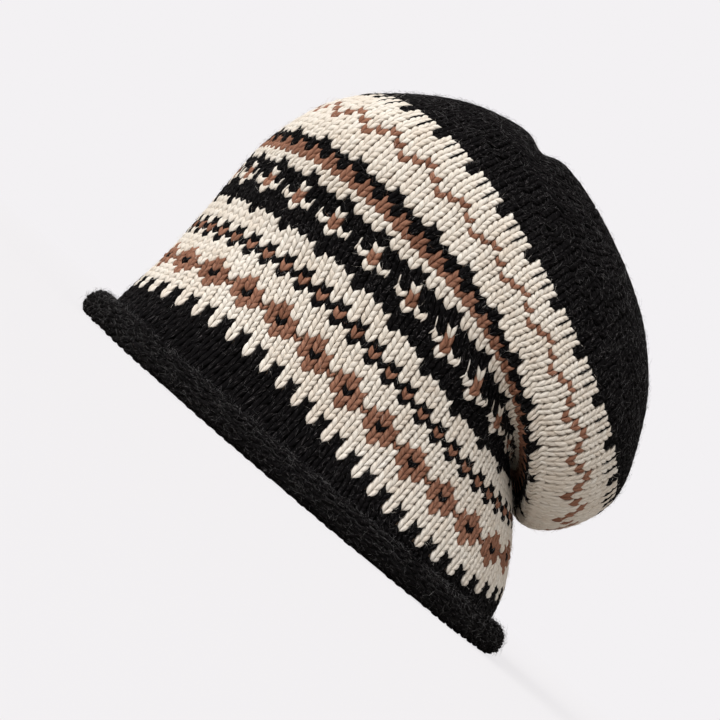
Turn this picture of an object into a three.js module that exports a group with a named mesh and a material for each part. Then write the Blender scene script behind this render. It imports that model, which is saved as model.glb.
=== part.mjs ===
// A slouchy beanie in stranded knitting, standing on its rolled brim.
// Millimetres, +Z up. The forehead is at -X and the bag of the crown hangs at +X.
// Three knitted sub-parts: the rolled brim, the patterned body and the gathered crown.
import * as THREE from 'three';

// Driving dimensions
const WALL = 3.2;            // thickness of the stranded fabric
const GAP = 0.3;             // clearance between two sub-parts
const WALL_FOOT_Z = 9.0;     // height at which the body's wall stands on the brim
const AROUND = 56;           // facets around the head
const CROWN_ROW = 45;        // the first knitted row of the crown
const POLE_ROW = 77;         // the row where the last stitches are gathered
const CUT_HALF_ROWS = 0.05;  // half the gap between body and crown, in rows
const EDGE_STEP = 1e-3;      // step for slopes, in rows or radians

// Sections of the outer face, one for each knitted row that shapes it.
// x runs front to back, y is the half width, z is the height above the surface it stands on.
// square makes the section blunter than an oval.
const SECTIONS = [
  { at: 'foot',         row: 0,    frontX: -93.5,  frontZ: 9,     sideX: 6,    sideY: 83,   sideZ: 9,     backX: 106,   backZ: 9,     square: 0 },
  { at: 'teeth',        row: 4,    frontX: -92.5,  frontZ: 19,    sideX: 4.5,  sideY: 79.5, sideZ: 23,    backX: 103.5, backZ: 20,    square: 0 },
  { at: 'flowers',      row: 10.5, frontX: -90.5,  frontZ: 37,    sideX: 2.5,  sideY: 78,   sideZ: 42,    backX: 95,    backZ: 36,    square: 0 },
  { at: 'dots',         row: 15,   frontX: -90,    frontZ: 49.5,  sideX: 2,    sideY: 78,   sideZ: 54.5,  backX: 88.5,  backZ: 45,    square: 0 },
  { at: 'fold in',      row: 20,   frontX: -90,    frontZ: 65,    sideX: 1.5,  sideY: 78.5, sideZ: 69,    backX: 80,    backZ: 54.5,  square: 0 },
  { at: 'stars',        row: 25,   frontX: -90,    frontZ: 80,    sideX: 2,    sideY: 79.5, sideZ: 82.5,  backX: 69,    backZ: 65,    square: 0.02 },
  { at: 'crease',       row: 26.5, frontX: -90,    frontZ: 85,    sideX: 2,    sideY: 80,   sideZ: 86.5,  backX: 70,    backZ: 67,    square: 0.02 },
  { at: 'fold out',     row: 30,   frontX: -89.5,  frontZ: 96.5,  sideX: 2.5,  sideY: 81.5, sideZ: 96.5,  backX: 79,    backZ: 60.5,  square: 0.03 },
  { at: 'bag foot',     row: 33.5, frontX: -86.5,  frontZ: 109.5, sideX: 4.5,  sideY: 83,   sideZ: 105.5, backX: 88.5,  backZ: 50,    square: 0.04 },
  { at: 'bag',          row: 36,   frontX: -83,    frontZ: 119.5, sideX: 7,    sideY: 83,   sideZ: 111,   backX: 95.5,  backZ: 51,    square: 0.04 },
  { at: 'zigzag',       row: 39.5, frontX: -77,    frontZ: 129.5, sideX: 10.5, sideY: 83,   sideZ: 117.5, backX: 104.5, backZ: 59,    square: 0.04 },
  { at: 'crown edge',   row: 45,   frontX: -64.5,  frontZ: 144,   sideX: 18,   sideY: 80,   sideZ: 127,   backX: 112,   backZ: 77.5,  square: 0.03 },
  { at: 'shoulder',     row: 53,   frontX: -42,    frontZ: 160,   sideX: 24.5, sideY: 68,   sideZ: 143,   backX: 104.5, backZ: 104,   square: 0.03 },
  { at: 'top',          row: 61,   frontX: -19.5,  frontZ: 168.5, sideX: 28.5, sideY: 49,   sideZ: 155,   backX: 91,    backZ: 127,   square: 0.02 },
  { at: 'gather',       row: 69,   frontX: 2.5,    frontZ: 170,   sideX: 28.5, sideY: 25.5, sideZ: 163.5, backX: 67.5,  backZ: 148,   square: 0 },
  { at: 'dimple rim',   row: 74,   frontX: 16,     frontZ: 167,   sideX: 28,   sideY: 10,   sideZ: 164,   backX: 43.5,  backZ: 158.5, square: 0 },
  { at: 'pole',         row: 77,   frontX: 28.5,   frontZ: 160,   sideX: 28.5, sideY: 0,    sideZ: 160,   backX: 28.5,  backZ: 160,   square: 0 },
];

// Soft fold that crosses the top of the crown from side to side
const TOP_FOLD = { x: -1, width: 5.5, reach: 50, depth: 5, fromRow: 47, fullRow: 60 };

// Rows at which the faceted walls have a ring of corners
const BODY_ROWS = [0, 1.5, 3, 6, 9.5, 13, 16, 19, 22, 24, 25.2, 26, 27, 28.5, 30.5, 32.5, 34, 35.5, 37.5, 40, 42.5];
const CROWN_ROWS = [48, 51, 54, 57, 60, 63, 66, 69, 72, 74, 75.7];

// Cross-section of the rolled brim: out from the foot of the wall's outer face, and up
const BRIM_SECTION = [
  { out: -WALL, up: 2.6 },
  { out: -2.3,  up: 0.8 },
  { out: -0.4,  up: 0 },
  { out: 5.8,   up: 0 },
  { out: 8.2,   up: 1.1 },
  { out: 9.6,   up: 3.6 },
  { out: 9.8,   up: 6.4 },
  { out: 8.6,   up: 9.2 },
  { out: 6.3,   up: 11.2 },
  { out: 3.4,   up: 11.6 },
  { out: 1.2,   up: 10.6 },
  { out: GAP,   up: WALL_FOOT_Z - GAP },
  { out: -WALL, up: WALL_FOOT_Z - GAP },
];

// Smooth curve through one column of the table, with slopes averaged from both neighbours.
function column(name, row) {
  const last = SECTIONS.length - 1;
  let low = 0;
  while (low < last - 1 && row > SECTIONS[low + 1].row) {
    low += 1;
  }
  const chord = (index) => {
    const from = SECTIONS[index];
    const to = SECTIONS[index + 1];
    return (to[name] - from[name]) / (to.row - from.row);
  };
  const slope = (index) => {
    if (index === 0) {
      return chord(0);
    }
    if (index === last) {
      return chord(last - 1);
    }
    const before = SECTIONS[index].row - SECTIONS[index - 1].row;
    const after = SECTIONS[index + 1].row - SECTIONS[index].row;
    return (chord(index - 1) * after + chord(index) * before) / (before + after);
  };
  const span = SECTIONS[low + 1].row - SECTIONS[low].row;
  const t = (row - SECTIONS[low].row) / span;
  const start = (2 * t ** 3 - 3 * t ** 2 + 1) * SECTIONS[low][name];
  const end = (3 * t ** 2 - 2 * t ** 3) * SECTIONS[low + 1][name];
  const startSlope = (t ** 3 - 2 * t ** 2 + t) * span * slope(low);
  const endSlope = (t ** 3 - t ** 2) * span * slope(low + 1);
  return start + end + startSlope + endSlope;
}

// Depth of the soft fold at a place on the top.
function topFoldDepth(row, x, y) {
  const fade = THREE.MathUtils.smoothstep(row, TOP_FOLD.fromRow, TOP_FOLD.fullRow);
  const across = (x - TOP_FOLD.x) / TOP_FOLD.width;
  const along = y / TOP_FOLD.reach;
  return TOP_FOLD.depth * fade * Math.exp(-across * across - along * along);
}

// Point of the outer face. angle is 0 at the forehead and a quarter turn at the -Y side.
function outerPoint(row, angle) {
  const square = column('square', row);
  const cosine = (Math.cos(angle) - square * Math.cos(3 * angle)) / (1 - square);
  const sine = (Math.sin(angle) + square * Math.sin(3 * angle)) / (1 - square);
  const twice = Math.cos(2 * angle);
  const blend = (front, side, back) => {
    const middle = (front + back) / 2;
    return (middle + side) / 2 + ((front - back) / 2) * cosine + ((middle - side) / 2) * twice;
  };
  const x = blend(column('frontX', row), column('sideX', row), column('backX', row));
  const y = -column('sideY', row) * sine;
  const z = blend(column('frontZ', row), column('sideZ', row), column('backZ', row));
  return new THREE.Vector3(x, y, z - topFoldDepth(row, x, y));
}

// Outward normal of the outer face. The foot and the pole have level and upright ones.
function outwardNormal(row, angle) {
  if (row >= POLE_ROW) {
    return new THREE.Vector3(0, 0, 1);
  }
  const round = outerPoint(row, angle + EDGE_STEP).sub(outerPoint(row, angle - EDGE_STEP));
  const lower = Math.max(row - EDGE_STEP, 0);
  const rise = outerPoint(row + EDGE_STEP, angle).sub(outerPoint(lower, angle));
  const normal = round.cross(rise).normalize();
  if (row === 0) {
    normal.z = 0;
    normal.normalize();
  }
  return normal;
}

function innerPoint(row, angle) {
  return outerPoint(row, angle).addScaledVector(outwardNormal(row, angle), -WALL);
}

function ring(pointAt) {
  const step = (2 * Math.PI) / AROUND;
  return Array.from({ length: AROUND }, (_, index) => pointAt(index * step));
}

// Closed surface through rings of corners: each ring is joined to the next, a one-point ring is a tip.
function skin(rings, closed) {
  const positions = [];
  const starts = [];
  for (const corners of rings) {
    starts.push(positions.length / 3);
    corners.forEach((corner) => positions.push(corner.x, corner.y, corner.z));
  }
  const triangles = [];
  const pairs = closed ? rings.length : rings.length - 1;
  for (let lower = 0; lower < pairs; lower += 1) {
    const upper = (lower + 1) % rings.length;
    for (let index = 0; index < AROUND; index += 1) {
      const next = (index + 1) % AROUND;
      const corner = (level, place) => starts[level] + (rings[level].length === 1 ? 0 : place);
      if (rings[lower].length > 1) {
        triangles.push(corner(lower, index), corner(lower, next), corner(upper, next));
      }
      if (rings[upper].length > 1) {
        triangles.push(corner(lower, index), corner(upper, next), corner(upper, index));
      }
    }
  }
  const geometry = new THREE.BufferGeometry();
  geometry.setAttribute('position', new THREE.Float32BufferAttribute(positions, 3));
  geometry.setIndex(triangles);
  geometry.computeVertexNormals();
  return geometry;
}

// The edge that rolls outward by itself, as a band of one section around the head.
function brimGeometry() {
  const rings = BRIM_SECTION.map(({ out, up }) => ring((angle) => {
    const corner = outerPoint(0, angle).addScaledVector(outwardNormal(0, angle), out);
    corner.z = up;
    return corner;
  }));
  return skin(rings, true);
}

// The wall with the bands of colour, with the fold under the bag at the back.
function bodyGeometry() {
  const rows = [...BODY_ROWS, CROWN_ROW - CUT_HALF_ROWS];
  const outer = rows.map((row) => ring((angle) => outerPoint(row, angle)));
  const inner = rows.map((row) => ring((angle) => innerPoint(row, angle)));
  return skin([...outer, ...inner.reverse()], true);
}

// The plain cap, hollow below and drawn in to a dimple at the pole.
function crownGeometry() {
  const rows = [CROWN_ROW + CUT_HALF_ROWS, ...CROWN_ROWS];
  const outer = rows.map((row) => ring((angle) => outerPoint(row, angle)));
  const inner = rows.map((row) => ring((angle) => innerPoint(row, angle)));
  const wall = [...outer, [outerPoint(POLE_ROW, 0)]];
  const lining = [[innerPoint(POLE_ROW, 0)], ...inner.reverse()];
  return joinSkins(skin(wall, false), skin(lining, false), skin([inner.at(-1), outer[0]], false));
}

// One closed geometry out of open ones whose edges meet.
function joinSkins(...pieces) {
  const positions = [];
  const triangles = [];
  const numbers = new Map();
  for (const piece of pieces) {
    const place = piece.getAttribute('position');
    for (const index of piece.getIndex().array) {
      const corner = [place.getX(index), place.getY(index), place.getZ(index)];
      const key = corner.join();
      if (!numbers.has(key)) {
        numbers.set(key, positions.length / 3);
        positions.push(...corner);
      }
      triangles.push(numbers.get(key));
    }
  }
  const geometry = new THREE.BufferGeometry();
  geometry.setAttribute('position', new THREE.Float32BufferAttribute(positions, 3));
  geometry.setIndex(triangles);
  geometry.computeVertexNormals();
  return geometry;
}

function knitted(name, geometry, color) {
  const mesh = new THREE.Mesh(geometry, new THREE.MeshStandardMaterial({ color, roughness: 0.95, metalness: 0 }));
  mesh.name = name;
  return mesh;
}

const hat = new THREE.Group();
hat.add(
  knitted('rolled_brim', brimGeometry(), 0x232126),
  knitted('patterned_body', bodyGeometry(), 0xe6dccb),
  knitted('crown', crownGeometry(), 0x2a282c),
);

// The origin is under the middle of the hat's length and width.
const middle = new THREE.Box3().setFromObject(hat).getCenter(new THREE.Vector3());
hat.position.set(-middle.x, -middle.y, 0);

export default hat;
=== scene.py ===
"""A slouchy beanie in stranded knitting, standing on its rolled brim.

Every stitch of the outside is modelled as two plump legs of yarn that lie on a knitted surface.
Sizes are in millimetres and turn into metres where a mesh is made.
"""

from __future__ import annotations

import logging
import math
from abc import ABC
from abc import abstractmethod
from dataclasses import astuple
from dataclasses import dataclass
from dataclasses import field
from enum import Enum

import bmesh
import bpy
import numpy as np
from mathutils import Matrix
from mathutils import Vector

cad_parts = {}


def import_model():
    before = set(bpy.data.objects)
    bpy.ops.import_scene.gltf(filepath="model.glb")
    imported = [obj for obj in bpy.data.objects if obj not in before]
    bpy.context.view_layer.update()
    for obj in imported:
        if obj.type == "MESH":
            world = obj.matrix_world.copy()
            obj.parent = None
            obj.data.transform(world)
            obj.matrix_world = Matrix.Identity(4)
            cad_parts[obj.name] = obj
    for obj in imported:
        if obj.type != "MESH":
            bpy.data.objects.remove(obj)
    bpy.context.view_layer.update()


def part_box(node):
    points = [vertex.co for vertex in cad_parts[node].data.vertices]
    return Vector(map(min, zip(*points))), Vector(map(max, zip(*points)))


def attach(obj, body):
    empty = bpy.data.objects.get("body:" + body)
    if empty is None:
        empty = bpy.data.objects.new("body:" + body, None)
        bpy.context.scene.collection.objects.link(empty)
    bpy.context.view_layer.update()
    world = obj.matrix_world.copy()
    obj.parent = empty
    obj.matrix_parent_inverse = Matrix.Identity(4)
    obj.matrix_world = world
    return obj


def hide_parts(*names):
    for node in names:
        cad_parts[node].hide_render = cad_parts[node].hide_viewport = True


LOG = logging.getLogger("beanie")

MM = 0.001  # one millimetre in metres
BODY = "root"  # the one body that every piece rides on
SEED = 20

STITCHES = 112  # stitches around the head
REPEAT = 4  # stitches in one repeat of the chart
FIRST_REPEAT = 3  # the first stitch after the forehead that starts a repeat
CROWN_ROW = 45  # the first row of the plain crown
POLE_ROW = 77  # the row where the last stitches are gathered
WALL = 3.2  # thickness of the stranded fabric
FLOOR_GAP = 0.05  # the least height of the brim's outside and of the hairs over the floor

Colour = tuple[float, float, float]


class Yarn(Enum):
    """The three yarns of the hat, by their letter in the chart."""

    BLACK = "K"
    CREAM = "C"
    BROWN = "B"


# One repeat of the pattern, from the brim up: a string for each row, a letter for each stitch
CHART = (
    "KKKK",
    "KKKK",
    "KKKK",
    "KKKK",
    "KCKC",
    "KCKC",
    "CCCC",
    "CCCC",
    "BCCC",
    "BBCB",
    "KBBB",
    "BBCB",
    "BCCC",
    "CCCC",
    "CCCC",
    "KCKC",
    "BKBK",
    "KCKC",
    "CCCC",
    "CCCC",
    "KCCC",
    "KKKK",
    "KKKK",
    "CKKK",
    "BCKC",
    "BKKK",
    "CKKK",
    "KKKK",
    "KCCC",
    "CCCC",
    "BBBB",
    "BKBK",
    "KKKK",
    "CCKC",
    "CCCC",
    "CCCC",
    "CCCC",
    "BCCC",
    "CBCB",
    "CCBC",
    "CCCC",
    "CCCC",
    "CCCC",
    "KCCC",
    "KCCC",
)


@dataclass(frozen=True)
class Section:
    """A knitted row that shapes the hat: where it passes the forehead, the side and the back."""

    at: str
    row: float
    front_x: float
    front_z: float
    side_x: float
    side_y: float
    side_z: float
    back_x: float
    back_z: float
    square: float


SECTIONS = (
    Section("foot", 0, -93.5, 9, 6, 83, 9, 106, 9, 0),
    Section("teeth", 4, -92.5, 19, 4.5, 79.5, 23, 103.5, 20, 0),
    Section("flowers", 10.5, -90.5, 37, 2.5, 78, 42, 95, 36, 0),
    Section("dots", 15, -90, 49.5, 2, 78, 54.5, 88.5, 45, 0),
    Section("fold in", 20, -90, 65, 1.5, 78.5, 69, 80, 54.5, 0),
    Section("stars", 25, -90, 80, 2, 79.5, 82.5, 69, 65, 0.02),
    Section("crease", 26.5, -90, 85, 2, 80, 86.5, 70, 67, 0.02),
    Section("fold out", 30, -89.5, 96.5, 2.5, 81.5, 96.5, 79, 60.5, 0.03),
    Section("bag foot", 33.5, -86.5, 109.5, 4.5, 83, 105.5, 88.5, 50, 0.04),
    Section("bag", 36, -83, 119.5, 7, 83, 111, 95.5, 51, 0.04),
    Section("zigzag", 39.5, -77, 129.5, 10.5, 83, 117.5, 104.5, 59, 0.04),
    Section("crown edge", 45, -64.5, 144, 18, 80, 127, 112, 77.5, 0.03),
    Section("shoulder", 53, -42, 160, 24.5, 68, 143, 104.5, 104, 0.03),
    Section("top", 61, -19.5, 168.5, 28.5, 49, 155, 91, 127, 0.02),
    Section("gather", 69, 2.5, 170, 28.5, 25.5, 163.5, 67.5, 148, 0),
    Section("dimple rim", 74, 16, 167, 28, 10, 164, 43.5, 158.5, 0),
    Section("pole", 77, 28.5, 160, 28.5, 0, 160, 28.5, 160, 0),
)


@dataclass(frozen=True)
class TopFold:
    """The soft fold that crosses the top of the crown from side to side."""

    x: float = -1.0
    width: float = 5.5
    reach: float = 50.0
    depth: float = 5.0
    from_row: float = 47.0
    full_row: float = 60.0

    def depth_at(self, row: np.ndarray, x: np.ndarray, y: np.ndarray) -> np.ndarray:
        """How far the top sinks, by knitted row and by place from front to back and side to side."""
        share = np.clip((row - self.from_row) / (self.full_row - self.from_row), 0, 1)
        fade = share * share * (3 - 2 * share)
        across = (x - self.x) / self.width
        along = y / self.reach
        return self.depth * fade * np.exp(-across * across - along * along)


def smooth_columns(knots: np.ndarray, table: np.ndarray, places: np.ndarray) -> np.ndarray:
    """Smooth curves through the columns of a table, with slopes averaged from both neighbours.

    Args:
        knots: The place of each row of the table, rising.
        table: One row of values for each knot.
        places: Where the curves are read.

    Returns:
        One row of values for each place.
    """
    spans = np.diff(knots)[:, None]
    chords = np.diff(table, axis=0) / spans
    slopes = np.empty_like(table)
    slopes[0] = chords[0]
    slopes[-1] = chords[-1]
    slopes[1:-1] = (chords[:-1] * spans[1:] + chords[1:] * spans[:-1]) / (spans[1:] + spans[:-1])
    low = np.clip(np.searchsorted(knots, places, side="right") - 1, 0, len(knots) - 2)
    span = spans[low]
    t = ((places - knots[low]) / spans[low, 0])[:, None]
    start = (2 * t**3 - 3 * t**2 + 1) * table[low]
    end = (3 * t**2 - 2 * t**3) * table[low + 1]
    start_slope = (t**3 - 2 * t**2 + t) * span * slopes[low]
    end_slope = (t**3 - t**2) * span * slopes[low + 1]
    return start + end + start_slope + end_slope


@dataclass(frozen=True)
class WaleDrift:
    """How far the wales stray towards the back, row by row, as repeats of the chart.

    Each row has a part that is widest at both sides, one that changes sign there, and one at the back.
    """

    rows: tuple[float, ...] = (0, 4, 10.5, 15, 25, 30, 34.5, 39, 43, 53, 61, 77)
    sides: tuple[float, ...] = (0, -0.02, 0.03, 0.09, 0.21, 0, 0.31, -0.09, -0.35, -0.85, -0.3, -0.3)
    turns: tuple[float, ...] = (0.2, 0.28, 0.14, -0.05, -0.28, 0, -0.16, -0.12, -0.09, -0.43, -0.33, 0)
    backs: tuple[float, ...] = (-0.19, -0.19, 0, 0, 0.3, -0.1, -1.58, -1.28, -1.02, -0.9, -0.7, -0.8)

    def shares(self, row: float, turn: np.ndarray) -> np.ndarray:
        """The drift in a row, where turns and drifts are shares of the way around the head."""
        angle = 2 * math.pi * turn
        side, twice, back = (np.interp(row, self.rows, part) for part in (self.sides, self.turns, self.backs))
        drift = side * np.sin(angle) + twice * np.sin(2 * angle) + back * (1 - np.cos(angle)) / 2
        return drift * REPEAT / STITCHES


@dataclass(frozen=True)
class RowSway:
    """How many rows the knitted rows stray along the surface, because the soft fabric sags and twists.

    Each line holds a row, and how far it strays at even steps of 30 degrees from the forehead to the back.
    """

    TABLE = (
        (0, 0, 0, 0, 0, 0, 0, 0),
        (4, 0.6, 1.5, 2.2, 0.1, -2.0, -1.4, 0),
        (10.5, 0.6, 1.3, 2.0, 0.1, -1.7, -1.9, 0),
        (15, 0.4, 1.0, 1.7, 0, -1.8, -1.5, 0),
        (25, 0.6, 1.1, 1.1, 0.1, -1.1, -0.3, 0),
        (30, -0.3, -0.3, -0.2, -0.1, 0.2, -2.2, -1.6),
        (32, -0.7, -0.7, -0.7, 0, 0.8, -1.5, -1.1),
        (34.5, -1.4, -1.6, -1.7, 0, 1.6, -0.2, -0.3),
        (39, -1.8, -2.3, -2.1, 0, 2.3, 1.3, 0.3),
        (43, -1.6, -2.0, -1.0, 0.1, 1.0, 0.9, 0.3),
        (49, -0.5, -0.6, -0.3, 0, 0.3, 0.3, 0),
        (57, 0, 0, 0, 0, 0, 0, 0),
        (77, 0, 0, 0, 0, 0, 0, 0),
    )

    def at(self, rows: np.ndarray, angles: np.ndarray) -> np.ndarray:
        """How far each of the rows strays at each of the angles from the forehead."""
        table = np.array(self.TABLE, float)
        steps = np.arange(table.shape[1] - 1)
        waves = np.cos(np.outer(steps * math.pi / steps[-1], steps))
        parts = np.linalg.solve(waves, table[:, 1:].T).T
        return smooth_columns(table[:, 0], parts, rows) @ np.cos(np.outer(steps, angles))


class Surface(ABC):
    """A face of the hat, addressed by knitted row and by stitch column."""

    @abstractmethod
    def at(self, rows: np.ndarray, columns: np.ndarray) -> tuple[np.ndarray, np.ndarray]:
        """Points and normals of the surface.

        Args:
            rows: Rows of knitting, of any shape.
            columns: Stitch columns, of the same shape.

        Returns:
            Points in millimetres, and unit normals.
        """

    def lifted(self, rows: np.ndarray, columns: np.ndarray, lifts: np.ndarray) -> np.ndarray:
        """Points at heights over the surface, all in millimetres."""
        points, normals = self.at(rows, columns)
        return points + normals * lifts[..., None]

    def ring(self, row: float, lift: float) -> np.ndarray:
        """Points over one row, one for each stitch, at one height."""
        return self.lifted(np.full(STITCHES, row), np.arange(STITCHES, dtype=float), np.full(STITCHES, lift))


@dataclass
class KnittedSurface(Surface):
    """The outer face of the fabric.

    Columns run from the forehead round the -Y side. Before they stray, they have equal widths along a row.
    """

    shift_x: float
    fold: TopFold = field(default_factory=TopFold)
    drift: WaleDrift = field(default_factory=WaleDrift)
    sway: RowSway = field(default_factory=RowSway)
    row_step: float = 0.25
    column_step: float = 0.25
    angle_steps: int = 720

    def __post_init__(self) -> None:
        """Works out the grid of points and normals that every later call reads."""
        rows = np.arange(0, POLE_ROW + self.row_step / 2, self.row_step)
        angles = np.linspace(0, 2 * math.pi, self.angle_steps + 1)
        loops = self._loops(rows, angles)
        columns = np.arange(0, STITCHES, self.column_step)
        turn = columns / STITCHES
        self.points = np.empty((len(rows), len(columns), 3))
        for index, row in enumerate(rows):
            steps = np.linalg.norm(np.diff(loops[index], axis=0), axis=1)
            along = np.concatenate([[0], np.cumsum(steps)])
            share = turn + self.drift.shares(row, turn)
            for axis in range(3):
                self.points[index, :, axis] = np.interp(share * along[-1], along, loops[index, :, axis])
        self.normals = self._normals()

    def _loops(self, rows: np.ndarray, angles: np.ndarray) -> np.ndarray:
        """Points of each row's loop, at angles from the forehead."""
        knots = np.array([section.row for section in SECTIONS], float)
        table = np.array([astuple(section)[2:] for section in SECTIONS], float)
        places = np.clip(rows[:, None] + self.sway.at(rows, angles), 0, POLE_ROW)
        sizes = smooth_columns(knots, table, places.ravel()).T.reshape(-1, *places.shape)
        front_x, front_z, side_x, side_y, side_z, back_x, back_z, square = sizes
        cosine = (np.cos(angles) - square * np.cos(3 * angles)) / (1 - square)
        sine = (np.sin(angles) + square * np.sin(3 * angles)) / (1 - square)
        twice = np.cos(2 * angles)

        def blend(front: np.ndarray, side: np.ndarray, back: np.ndarray) -> np.ndarray:
            """One coordinate round the loop, from its values at the front, side and back."""
            middle = (front + back) / 2
            return (middle + side) / 2 + (front - back) / 2 * cosine + (middle - side) / 2 * twice

        x = blend(front_x, side_x, back_x)
        y = -side_y * sine
        z = blend(front_z, side_z, back_z)
        z = z - self.fold.depth_at(places, x, y)
        return np.stack([x + self.shift_x, y, z], axis=-1)

    def _normals(self) -> np.ndarray:
        """Outward normals of the grid. The foot has level ones and the pole an upright one."""
        around = np.roll(self.points, -1, axis=1) - np.roll(self.points, 1, axis=1)
        rise = np.gradient(self.points, axis=0)
        normals = np.cross(around, rise)
        normals[0, :, 2] = 0
        normals[-1] = (0, 0, 1)
        return normals / np.linalg.norm(normals, axis=2, keepdims=True)

    def at(self, rows: np.ndarray, columns: np.ndarray) -> tuple[np.ndarray, np.ndarray]:
        """Points and normals, read between the points of the grid."""
        highest = len(self.points) - 1.001  # just under the last row, so that a row above is left
        level = np.clip(rows / self.row_step, 0, highest)
        lower = level.astype(int)
        up = (level - lower)[..., None]
        place = np.mod(columns, STITCHES) / self.column_step
        left = place.astype(int) % self.points.shape[1]
        across = (place - place.astype(int))[..., None]
        right = (left + 1) % self.points.shape[1]

        def read(grid: np.ndarray) -> np.ndarray:
            """The grid's values between its four nearest points."""
            below = grid[lower, left] * (1 - across) + grid[lower, right] * across
            above = grid[lower + 1, left] * (1 - across) + grid[lower + 1, right] * across
            return below * (1 - up) + above * up

        normals = read(self.normals)
        return read(self.points), normals / np.linalg.norm(normals, axis=-1, keepdims=True)


@dataclass
class RollSurface(Surface):
    """The outer face of the brim's roll. Its rows are counted along the roll from under the brim."""

    fabric: KnittedSurface
    row_height: float = 2.9

    # Cross-section: out from the foot of the wall's outer face, and up
    SECTION = (
        (5.8, 0.0),
        (8.2, 1.1),
        (9.6, 3.6),
        (9.8, 6.4),
        (8.6, 9.2),
        (6.3, 11.2),
        (3.4, 11.6),
        (1.2, 10.6),
        (0.3, 8.7),
    )
    FINE = 200  # places along the smooth section

    def __post_init__(self) -> None:
        """Works out the smooth section by length along it."""
        corners = np.array(self.SECTION, float)
        places = np.concatenate([[0], np.cumsum(np.linalg.norm(np.diff(corners, axis=0), axis=1))])
        self.length = float(places[-1])
        self.places = np.linspace(0, self.length, self.FINE)
        self.curve = smooth_columns(places, corners, self.places)
        tangent = np.gradient(self.curve, axis=0)
        tangent = tangent / np.linalg.norm(tangent, axis=1, keepdims=True)
        self.outward = np.stack([tangent[:, 1], -tangent[:, 0]], axis=1)

    @property
    def rows(self) -> float:
        """Rows of knitting in the roll."""
        return self.length / self.row_height

    def at(self, rows: np.ndarray, columns: np.ndarray) -> tuple[np.ndarray, np.ndarray]:
        """Points and normals of the roll, whose section is set on the foot of the wall."""
        place = np.clip(rows, 0, self.rows) * self.row_height
        out = np.interp(place, self.places, self.curve[:, 0])
        up = np.interp(place, self.places, self.curve[:, 1])
        normal_out = np.interp(place, self.places, self.outward[:, 0])
        normal_up = np.interp(place, self.places, self.outward[:, 1])
        foot, level = self.fabric.at(np.zeros_like(place), columns)
        points = foot + level * out[..., None]
        points[..., 2] = up
        normals = level * normal_out[..., None]
        normals[..., 2] = normal_up
        return points, normals


class Socket:
    """A shader socket that takes part in sums."""

    def __init__(self, nodes: NodeMaker, socket: bpy.types.NodeSocket) -> None:
        """Keeps the socket and the maker of its tree."""
        self.nodes = nodes
        self.socket = socket

    def _sum(self, operation: str, first: Value, second: Value, clamp: bool = False) -> Socket:
        """A Math node on two values."""
        settings = {"operation": operation, "use_clamp": clamp}
        return self.nodes.make("ShaderNodeMath", settings, {0: first, 1: second})

    def __add__(self, other: Value) -> Socket:
        """The sum."""
        return self._sum("ADD", self, other)

    def __radd__(self, other: Value) -> Socket:
        """The sum, with the number first."""
        return self._sum("ADD", other, self)

    def __sub__(self, other: Value) -> Socket:
        """The difference."""
        return self._sum("SUBTRACT", self, other)

    def __rsub__(self, other: Value) -> Socket:
        """The difference, with the number first."""
        return self._sum("SUBTRACT", other, self)

    def __mul__(self, other: Value) -> Socket:
        """The product."""
        return self._sum("MULTIPLY", self, other)

    def __pow__(self, other: Value) -> Socket:
        """The power."""
        return self._sum("POWER", self, other)

    def sine(self) -> Socket:
        """The sine of an angle in radians."""
        return self._sum("SINE", self, 0.0)

    def size(self) -> Socket:
        """The value without its sign."""
        return self._sum("ABSOLUTE", self, 0.0)

    def clamped(self) -> Socket:
        """The value held between 0 and 1."""
        return self._sum("ADD", self, 0.0, clamp=True)

    def between(self, low: float, high: float) -> Socket:
        """A smooth step from 0 at the low value to 1 at the high one."""
        settings = {"interpolation_type": "SMOOTHSTEP"}
        return self.nodes.make("ShaderNodeMapRange", settings, {0: self, 1: low, 2: high})


Value = Socket | float


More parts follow.
